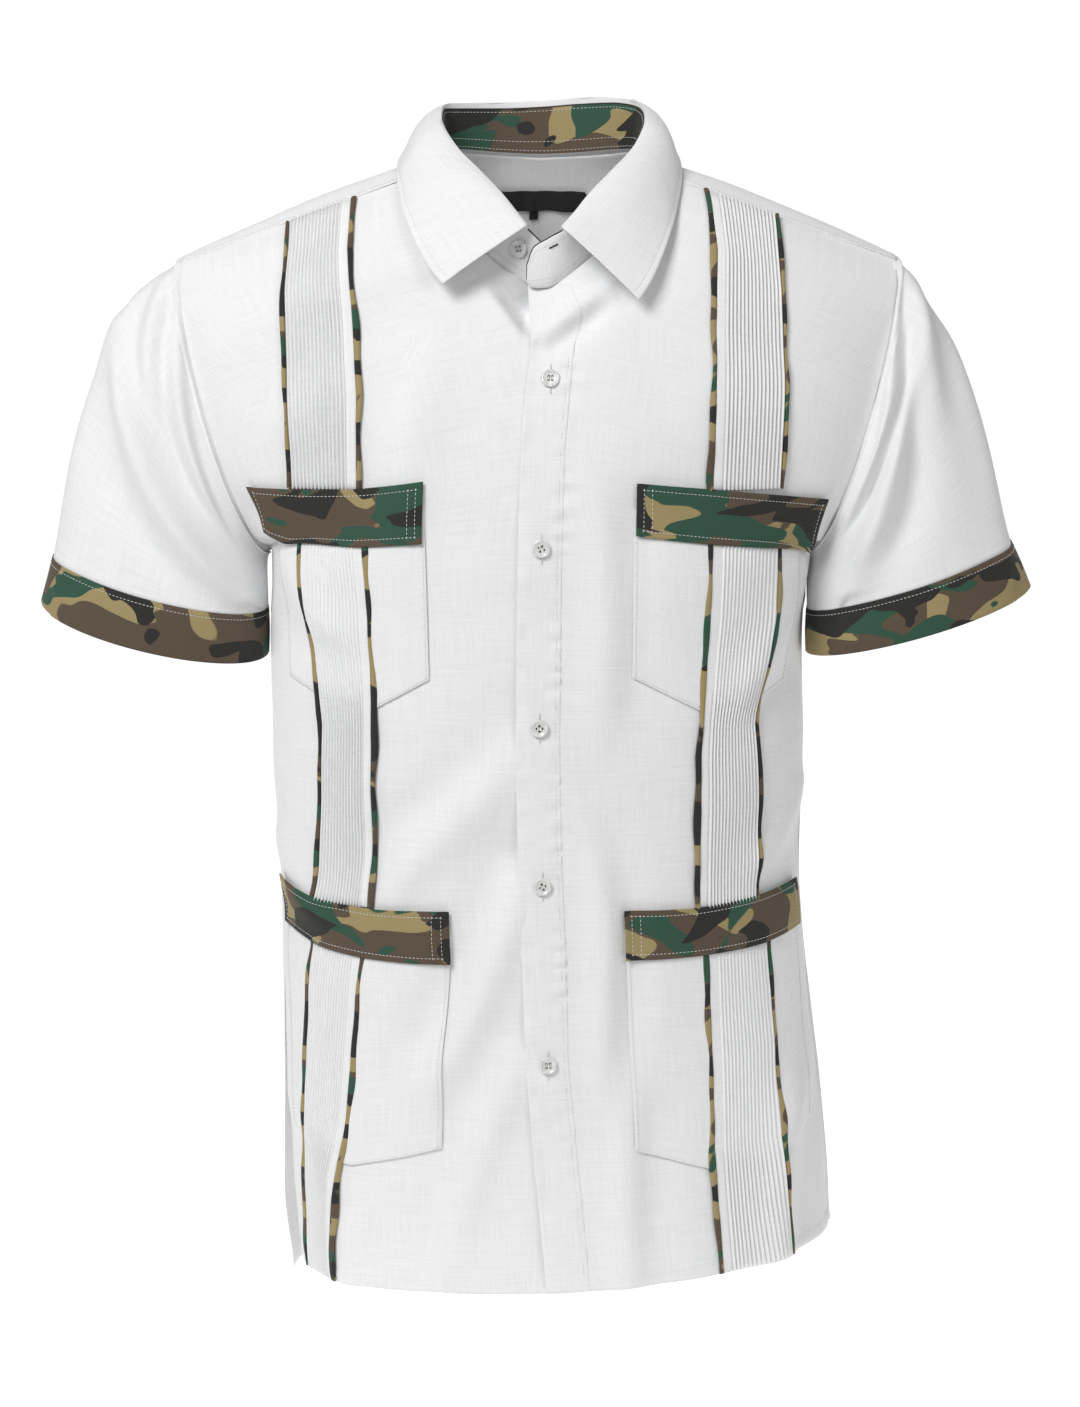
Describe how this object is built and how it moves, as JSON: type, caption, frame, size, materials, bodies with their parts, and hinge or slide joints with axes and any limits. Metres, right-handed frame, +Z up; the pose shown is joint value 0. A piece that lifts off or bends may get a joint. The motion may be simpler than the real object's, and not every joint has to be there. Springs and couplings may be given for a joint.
{
  "type": "guayabera shirt",
  "caption": "Short-sleeved guayabera shirt in worn form: white cloth with tucked bands, patch pockets, open collar and straight hem, trimmed in camouflage print.",
  "frame": {"origin": "middle of the neck opening at the level where the shoulders meet the neck, where the wearer's shoulders carry the shirt", "axes": "+Z up, -Y towards the front of the shirt, +X towards the wearer's left"},
  "size_m": [0.6811, 0.258, 0.8172],
  "materials": {
    "white_cloth": "matt white plain-weave cotton blend with a fine slub",
    "camo_cloth": "matt cotton printed with a common woodland camouflage in tan, brown, green and black",
    "button": "pearly white four-hole shirt buttons",
    "black_tape": "plain black woven tape, bare of any text"
  },
  "bodies": {
    "root": {"front_left": "white_cloth", "sleeve_left": "white_cloth", "cuff_left": "camo_cloth", "pocket_chest_left": "white_cloth", "flap_chest_left": "camo_cloth", "pocket_low_left": "white_cloth", "flap_low_left": "camo_cloth", "band_upper_left": "white_cloth", "piping_upper_inner_left": "camo_cloth", "piping_upper_outer_left": "camo_cloth", "band_middle_left": "white_cloth", "piping_middle_inner_left": "camo_cloth", "piping_middle_outer_left": "camo_cloth", "band_lower_left": "white_cloth", "piping_lower_inner_left": "camo_cloth", "piping_lower_outer_left": "camo_cloth", "front_right": "white_cloth", "sleeve_right": "white_cloth", "cuff_right": "camo_cloth", "pocket_chest_right": "white_cloth", "flap_chest_right": "camo_cloth", "pocket_low_right": "white_cloth", "flap_low_right": "camo_cloth", "band_upper_right": "white_cloth", "piping_upper_inner_right": "camo_cloth", "piping_upper_outer_right": "camo_cloth", "band_middle_right": "white_cloth", "piping_middle_inner_right": "camo_cloth", "piping_middle_outer_right": "camo_cloth", "band_lower_right": "white_cloth", "piping_lower_inner_right": "camo_cloth", "piping_lower_outer_right": "camo_cloth", "back": "white_cloth", "yoke": "white_cloth", "collar_stand": "white_cloth", "stand_lining": "camo_cloth", "collar_fall": "white_cloth", "placket": "white_cloth", "button_1": "button", "button_2": "button", "button_3": "button", "button_4": "button", "button_5": "button", "button_stand": "button", "label": "black_tape", "size_tab": "black_tape"}
  },
  "joints": []
}
